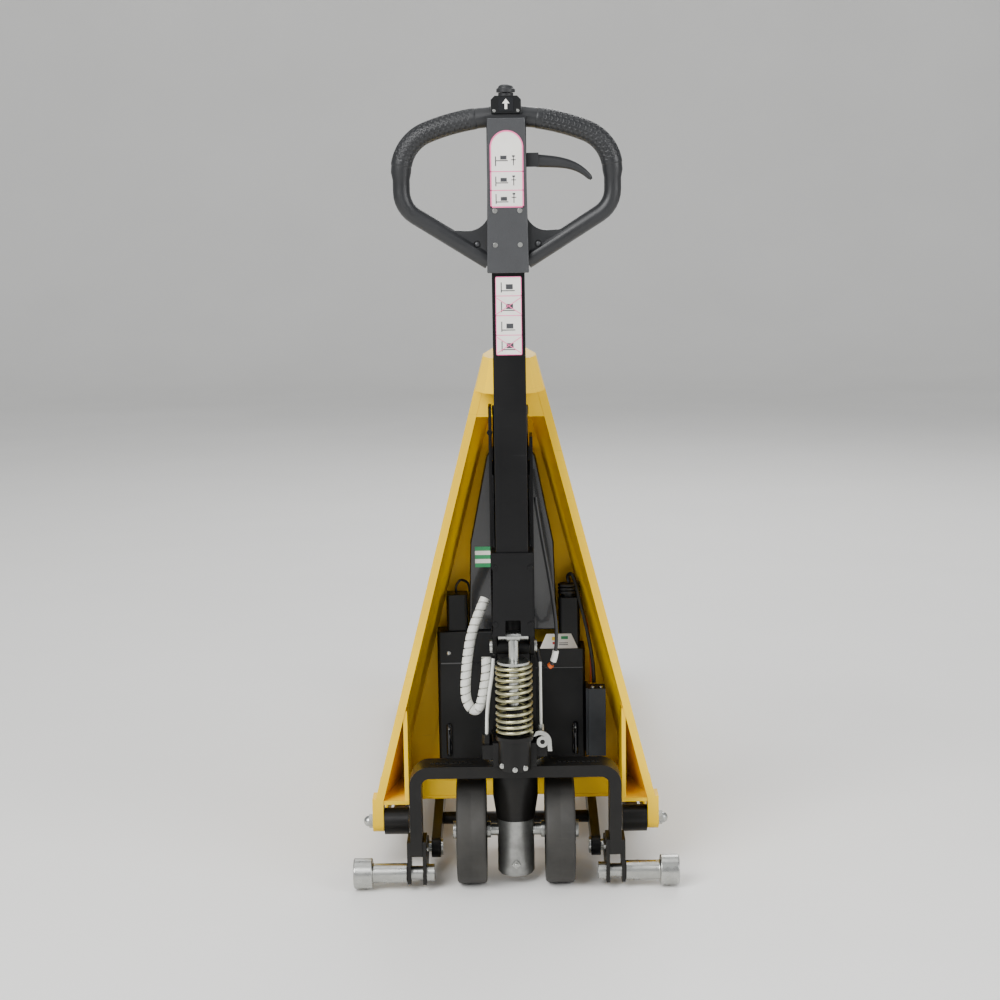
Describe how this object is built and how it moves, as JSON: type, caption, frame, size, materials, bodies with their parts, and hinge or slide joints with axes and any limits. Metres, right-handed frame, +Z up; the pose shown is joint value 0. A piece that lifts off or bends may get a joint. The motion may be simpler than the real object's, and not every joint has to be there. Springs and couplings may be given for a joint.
{
  "type": "electric pallet truck",
  "caption": "Yellow high-lift scissor pallet truck with a steering handle, hand pump, mast, battery boxes and two forks.",
  "frame": {"origin": "on the floor, under the middle of the truck's bounding box", "axes": "+X to the operator's right, +Y from the handle to the fork tips, +Z up"},
  "size_m": [0.548, 1.4062, 1.331],
  "materials": {
    "black_coat": "satin",
    "black_plastic": "satin",
    "zinc_steel": "satin",
    "spring_steel": "satin",
    "cast_steel": "satin",
    "chrome": "gloss",
    "rubber_tyre": "matte",
    "polyurethane": "satin",
    "yellow_coat": "gloss",
    "white_plastic": "matte",
    "cable_sheath": "satin",
    "dark_aluminium": "satin"
  },
  "bodies": {
    "base": {"yoke": "black_coat", "thrust_washer": "zinc_steel", "clevis_plates": "black_coat", "foot_bars": "zinc_steel", "base_fasteners": "zinc_steel", "arm_pivot_pins": "zinc_steel"},
    "steer_unit": {"axle_block": "cast_steel", "steer_axle": "zinc_steel", "lower_barrel": "black_coat", "pump_block": "black_coat", "pump_spring": "spring_steel", "lift_cylinder": "black_coat", "mast_channel": "black_coat", "pump_bracket": "black_coat", "handle_pin": "zinc_steel", "hose_sleeve": "white_plastic", "hydraulic_lines": "white_plastic", "control_cable": "cable_sheath"},
    "cylinder_stage": {"cylinder_sleeve": "zinc_steel"},
    "steer_wheel_left": {"steer_tyre_left": "rubber_tyre", "steer_hub_left": "black_coat"},
    "steer_wheel_right": {"steer_tyre_right": "rubber_tyre", "steer_hub_right": "black_coat"},
    "handle": {"handle_base": "black_coat", "handle_shaft": "black_coat", "handle_loop": "black_plastic", "head_cover": "black_plastic", "handle_screws": "zinc_steel", "switch_box": "black_plastic", "labels": "white_plastic", "lever_mount": "black_plastic"},
    "button": {"lift_button": "black_plastic"},
    "pull_lever": {"release_lever": "black_plastic"},
    "pump_rod": {"pump_piston": "zinc_steel"},
    "lowering_lever": {"valve_lever": "zinc_steel"},
    "inner_arms": {"inner_arm_left": "black_coat", "inner_arm_right": "black_coat", "inner_tie_tube": "black_coat"},
    "roller_left": {"arm_roller_left": "zinc_steel"},
    "roller_right": {"arm_roller_right": "zinc_steel"},
    "outer_arms": {"outer_arm_left": "black_coat", "outer_arm_right": "black_coat", "load_axle": "zinc_steel"},
    "rear_wheel_left": {"load_wheel_left": "polyurethane"},
    "rear_wheel_right": {"load_wheel_right": "polyurethane"},
    "fork_frame": {"frame_side_left": "yellow_coat", "frame_side_right": "yellow_coat", "crown": "yellow_coat", "frame_brace": "yellow_coat", "back_panel": "yellow_coat", "frame_floor": "yellow_coat", "lug_bolts": "zinc_steel", "fork_left": "yellow_coat", "fork_right": "yellow_coat", "ram": "chrome", "battery_case": "black_plastic", "power_box": "black_plastic", "motor_cover": "black_plastic", "controller": "dark_aluminium", "terminal_boxes": "black_plastic"}
  },
  "joints": [
    {"name": "steering", "type": "hinge", "parent": "base", "child": "steer_unit", "pos_m": [0, -0.5819, 0], "axis": [0, 0, 1], "range_deg": [-90, 90]},
    {"name": "steer_wheel_left_spin", "type": "hinge", "parent": "steer_unit", "child": "steer_wheel_left", "pos_m": [0, -0.5819, 0.09], "axis": [1, 0, 0], "continuous": true},
    {"name": "steer_wheel_right_spin", "type": "hinge", "parent": "steer_unit", "child": "steer_wheel_right", "pos_m": [0, -0.5819, 0.09], "axis": [1, 0, 0], "continuous": true},
    {"name": "handle_tilt", "type": "hinge", "parent": "steer_unit", "child": "handle", "pos_m": [0, -0.6259, 0.42], "axis": [1, 0, 0], "range_deg": [0, 60], "stiffness_Nm_per_rad": 60, "springref_deg": -11.46},
    {"name": "pump_stroke", "type": "slide", "parent": "steer_unit", "child": "pump_rod", "axis": [0, 0, 1], "range_m": [-0.044, 0], "deforming": ["pump_spring"]},
    {"name": "telescope", "type": "slide", "parent": "steer_unit", "child": "cylinder_stage", "axis": [0, 0, 1], "range_m": [0, 0.345]},
    {"name": "lift", "type": "hinge", "parent": "base", "child": "inner_arms", "pos_m": [0, -0.5219, 0.04], "axis": [1, 0, 0], "range_deg": [0, 41.78]},
    {"name": "scissor", "type": "hinge", "parent": "inner_arms", "child": "outer_arms", "pos_m": [0, 0.00505, 0.064], "axis": [1, 0, 0], "range_deg": [-83.56, 0]},
    {"name": "fork_level", "type": "hinge", "parent": "outer_arms", "child": "fork_frame", "pos_m": [0, -0.5219, 0.088], "axis": [1, 0, 0], "range_deg": [0, 41.78]},
    {"name": "arm_roller_left_spin", "type": "hinge", "parent": "inner_arms", "child": "roller_left", "pos_m": [0, 0.53201, 0.088], "axis": [1, 0, 0], "continuous": true},
    {"name": "arm_roller_right_spin", "type": "hinge", "parent": "inner_arms", "child": "roller_right", "pos_m": [0, 0.53201, 0.088], "axis": [1, 0, 0], "continuous": true},
    {"name": "load_wheel_left_spin", "type": "hinge", "parent": "outer_arms", "child": "rear_wheel_left", "pos_m": [0, 0.53201, 0.04], "axis": [1, 0, 0], "continuous": true},
    {"name": "load_wheel_right_spin", "type": "hinge", "parent": "outer_arms", "child": "rear_wheel_right", "pos_m": [0, 0.53201, 0.04], "axis": [1, 0, 0], "continuous": true},
    {"name": "release_lever_pull", "type": "hinge", "parent": "handle", "child": "pull_lever", "pos_m": [0.044, -0.6769, 1.212], "axis": [0, 1, 0], "range_deg": [-12, 12], "stiffness_Nm_per_rad": 4},
    {"name": "valve_lever_turn", "type": "hinge", "parent": "steer_unit", "child": "lowering_lever", "pos_m": [0.046, -0.6449, 0.2613], "axis": [0, 1, 0], "range_deg": [-12, 12]},
    {"name": "lift_button_press", "type": "slide", "parent": "handle", "child": "button", "axis": [0, 0, -1], "range_m": [0, 0.004], "stiffness_N_per_m": 400, "springref_m": -0.002}
  ],
  "couplings": [
    {"joint": "pump_stroke", "follows": "handle_tilt", "m_per_rad": -0.0416},
    {"joint": "telescope", "follows": "lift", "m_per_rad": 0.473},
    {"joint": "scissor", "follows": "lift", "ratio": -2},
    {"joint": "fork_level", "follows": "lift", "ratio": 1},
    {"joint": "valve_lever_turn", "follows": "release_lever_pull", "ratio": 1}
  ]
}
